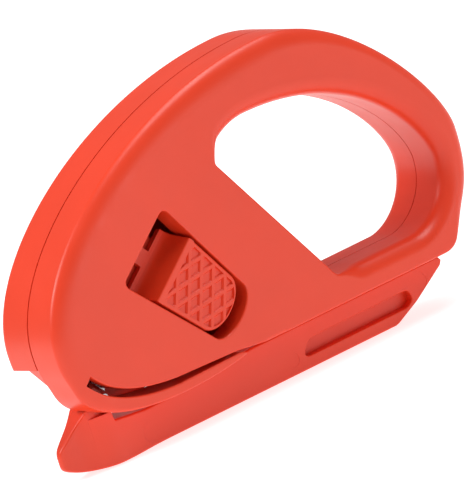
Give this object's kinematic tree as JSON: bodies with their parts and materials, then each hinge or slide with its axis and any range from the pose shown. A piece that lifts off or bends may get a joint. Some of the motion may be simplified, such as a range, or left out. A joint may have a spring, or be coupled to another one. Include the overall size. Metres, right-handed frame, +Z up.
{
  "type": "film cutter",
  "caption": "Hand-held film cutter: a two-shell moulded body with a finger ring, a long foot that runs under the film, and a thumb slider that lowers a small blade.",
  "frame": {"origin": "middle of the overall box, on the underside of the foot", "axes": "+X from the nose towards the finger ring, +Y from the thumb side to the back, +Z up from the foot's underside"},
  "size_m": [0.0984, 0.018, 0.0607],
  "materials": {
    "body_plastic": "orange-red moulded ABS, satin with a fine moulded grain",
    "blade_steel": "ground and polished hardened steel",
    "fastener_steel": "plated steel"
  },
  "bodies": {
    "body": {"near_shell": "body_plastic", "far_shell": "body_plastic", "foot_runner": "body_plastic", "foot_pin": "fastener_steel", "shell_screw_front": "fastener_steel", "shell_screw_top": "fastener_steel", "shell_screw_rear": "fastener_steel", "shell_screw_belly": "fastener_steel"},
    "slider": {"slider_button": "body_plastic", "blade_carrier": "body_plastic", "blade": "blade_steel", "blade_retainer": "body_plastic", "detent_spring": "blade_steel"}
  },
  "joints": [
    {"name": "blade_slide", "type": "slide", "parent": "body", "child": "slider", "axis": [-0.6, 0, 0.8], "range_m": [0, 0.0045]}
  ]
}
